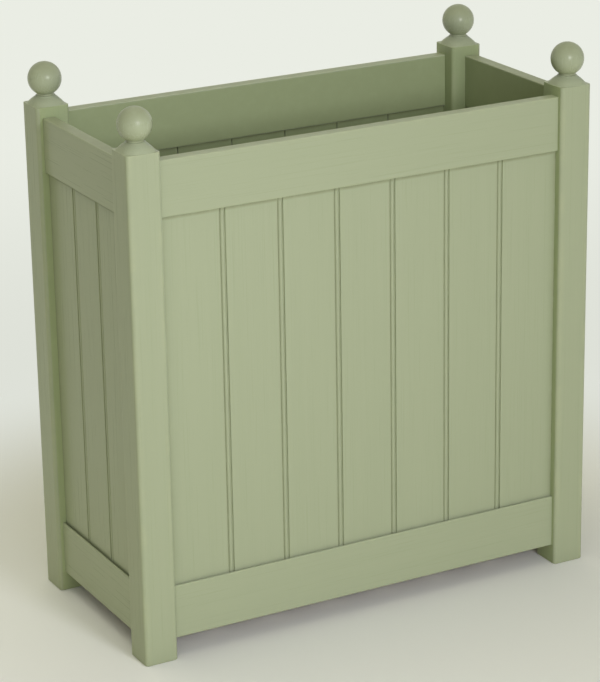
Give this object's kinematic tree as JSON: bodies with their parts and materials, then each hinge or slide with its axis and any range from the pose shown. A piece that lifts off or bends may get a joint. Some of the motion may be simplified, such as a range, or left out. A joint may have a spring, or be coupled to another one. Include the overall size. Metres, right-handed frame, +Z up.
{
  "type": "trough planter",
  "caption": "Tall rectangular trough planter in painted timber, with corner posts, ball finials, framed panels of beaded boards and a loose slatted floor.",
  "frame": {"origin": "on the ground, midway between the four feet", "axes": "+Z up, the long front side faces -Y, +X to the right seen from the front"},
  "size_m": [0.7, 0.33, 0.7629],
  "materials": {
    "sage_paint": "sage green eggshell paint over softwood, faint brush marks and grain",
    "bare_timber": "planed unpainted softwood",
    "zinc_steel": "yellow zinc plated steel"
  },
  "bodies": {
    "planter": {"bearer_screws": "zinc_steel", "bottom_rail_front": "sage_paint", "bottom_rail_left": "sage_paint", "bottom_rail_rear": "sage_paint", "bottom_rail_right": "sage_paint", "finial_dowels": "bare_timber", "finial_front_left": "sage_paint", "finial_front_right": "sage_paint", "finial_rear_left": "sage_paint", "finial_rear_right": "sage_paint", "floor_bearer_front": "bare_timber", "floor_bearer_left": "bare_timber", "floor_bearer_rear": "bare_timber", "floor_bearer_right": "bare_timber", "front_board_1": "sage_paint", "front_board_2": "sage_paint", "front_board_3": "sage_paint", "front_board_4": "sage_paint", "front_board_5": "sage_paint", "front_board_6": "sage_paint", "front_board_7": "sage_paint", "left_board_1": "sage_paint", "left_board_2": "sage_paint", "left_board_3": "sage_paint", "post_front_left": "sage_paint", "post_front_right": "sage_paint", "post_rear_left": "sage_paint", "post_rear_right": "sage_paint", "rear_board_1": "sage_paint", "rear_board_2": "sage_paint", "rear_board_3": "sage_paint", "rear_board_4": "sage_paint", "rear_board_5": "sage_paint", "rear_board_6": "sage_paint", "rear_board_7": "sage_paint", "right_board_1": "sage_paint", "right_board_2": "sage_paint", "right_board_3": "sage_paint", "top_rail_front": "sage_paint", "top_rail_left": "sage_paint", "top_rail_rear": "sage_paint", "top_rail_right": "sage_paint"},
    "floor_grid": {"floor_batten_front": "bare_timber", "floor_batten_rear": "bare_timber", "floor_screws": "zinc_steel", "floor_slat_1": "bare_timber", "floor_slat_2": "bare_timber", "floor_slat_3": "bare_timber", "floor_slat_4": "bare_timber", "floor_slat_5": "bare_timber", "floor_slat_6": "bare_timber", "floor_slat_7": "bare_timber"}
  },
  "joints": [
    {"name": "floor_lift", "type": "slide", "parent": "planter", "child": "floor_grid", "axis": [0, 0, 1], "range_m": [0, 0.73]}
  ]
}
